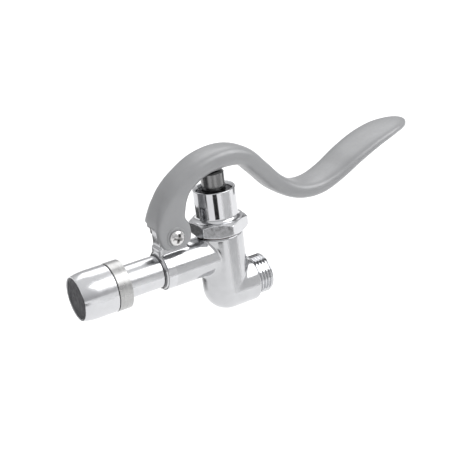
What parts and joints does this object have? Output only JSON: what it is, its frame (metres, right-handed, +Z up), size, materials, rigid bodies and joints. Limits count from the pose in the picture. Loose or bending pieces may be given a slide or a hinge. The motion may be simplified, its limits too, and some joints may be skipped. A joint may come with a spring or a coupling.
{
  "type": "self-closing squeeze valve",
  "caption": "Self-closing tap: elbowed chrome body with threaded inlet, aerator outlet and a curved hand lever that pushes a spring-loaded plunger.",
  "frame": {"origin": "centre of the inlet's end face, on the inlet's axis", "axes": "+X out of the inlet, +Z up along the stem, the outlet points along -X"},
  "size_m": [0.2086, 0.0312, 0.0888],
  "materials": {
    "body_chrome": "polished chrome plate over a brass casting",
    "chrome": "polished chrome plate",
    "brushed_ring": "fine turned lines, satin",
    "lever_coat": "satin grey coat",
    "plunger_steel": "dark turned steel",
    "steel": "bright steel",
    "brass": "machined",
    "rubber": "matt black",
    "fibre": "matt red-brown sealing fibre",
    "white_plastic": "moulded",
    "screen_steel": "woven stainless wire, dark"
  },
  "bodies": {
    "valve": {"valve_body": "body_chrome", "bonnet": "chrome", "outlet_tube": "chrome", "aerator_housing": "chrome", "adapter_ring": "brushed_ring", "return_spring": "steel", "spring_washer": "steel", "valve_seat": "brass", "guide_cage": "brass", "gland_nut": "brass", "lever_bushing": "brass", "tube_oring": "rubber", "aerator_washer": "rubber", "seat_gasket": "fibre", "bonnet_gasket": "fibre", "stem_packing": "white_plastic", "jet_disc": "white_plastic", "aerator_cartridge": "white_plastic", "inner_screen": "screen_steel", "outer_screen": "screen_steel"},
    "lever": {"lever": "lever_coat", "pivot_screw": "steel", "pivot_washer": "steel", "pivot_nut": "steel"},
    "stem": {"stem": "steel", "plunger": "plunger_steel", "disc_holder": "brass", "seat_washer": "rubber", "disc_nut": "brass"}
  },
  "joints": [
    {"name": "lever_pivot", "type": "hinge", "parent": "valve", "child": "lever", "pos_m": [-0.0529, 0, 0.0385], "axis": [0, 1, 0], "range_deg": [0, 9]},
    {"name": "stem_slide", "type": "slide", "parent": "valve", "child": "stem", "axis": [0, 0, -1], "range_m": [0, 0.0045], "stiffness_N_per_m": 1500, "springref_m": -0.008, "deforming": ["return_spring"]}
  ],
  "couplings": [
    {"joint": "stem_slide", "follows": "lever_pivot", "m_per_rad": 0.0282}
  ]
}
